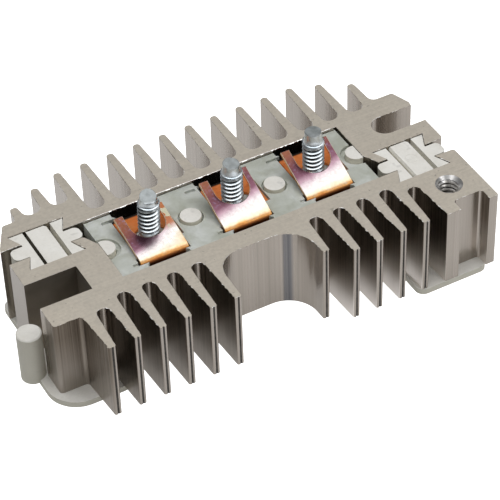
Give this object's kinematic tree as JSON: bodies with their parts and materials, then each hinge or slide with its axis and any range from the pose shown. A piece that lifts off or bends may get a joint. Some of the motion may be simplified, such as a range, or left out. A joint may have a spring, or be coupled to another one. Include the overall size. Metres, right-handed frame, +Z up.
{
  "type": "alternator rectifier",
  "caption": "Alternator rectifier bridge: finned aluminium heat sinks held apart by nylon keys, with stator studs and copper diode leads in the slot between them.",
  "frame": {"origin": "middle of the bounding box in plan, on the underside of the nylon feet it rests on", "axes": "+X along the bridge to the end with the output terminal and the bolt slot, +Y from the insulated heat sink to the earthed one, +Z up along the studs"},
  "size_m": [0.103, 0.0538, 0.0305],
  "materials": {
    "earthed_aluminium": "matte extruded, oxidised",
    "insulated_aluminium": "matte extruded, oxidised",
    "white_nylon": "satin moulded",
    "pale_green_nylon": "translucent moulded",
    "plated_stud_steel": "zinc plated",
    "oxidised_copper": "tarnished",
    "tinned_diode_steel": "tinned"
  },
  "bodies": {
    "root": {"rear_heat_sink": "earthed_aluminium", "front_heat_sink": "insulated_aluminium", "left_end_insulator": "white_nylon", "right_end_insulator": "white_nylon", "left_key_wedge": "white_nylon", "right_key_wedge": "white_nylon", "base_strip": "white_nylon", "terminal_carrier": "pale_green_nylon", "terminal_stud_1": "plated_stud_steel", "positive_lead_1": "oxidised_copper", "negative_lead_1": "oxidised_copper", "positive_diode_1": "tinned_diode_steel", "negative_diode_1": "tinned_diode_steel", "terminal_stud_2": "plated_stud_steel", "positive_lead_2": "oxidised_copper", "negative_lead_2": "oxidised_copper", "positive_diode_2": "tinned_diode_steel", "negative_diode_2": "tinned_diode_steel", "terminal_stud_3": "plated_stud_steel", "positive_lead_3": "oxidised_copper", "negative_lead_3": "oxidised_copper", "positive_diode_3": "tinned_diode_steel", "negative_diode_3": "tinned_diode_steel"}
  },
  "joints": []
}
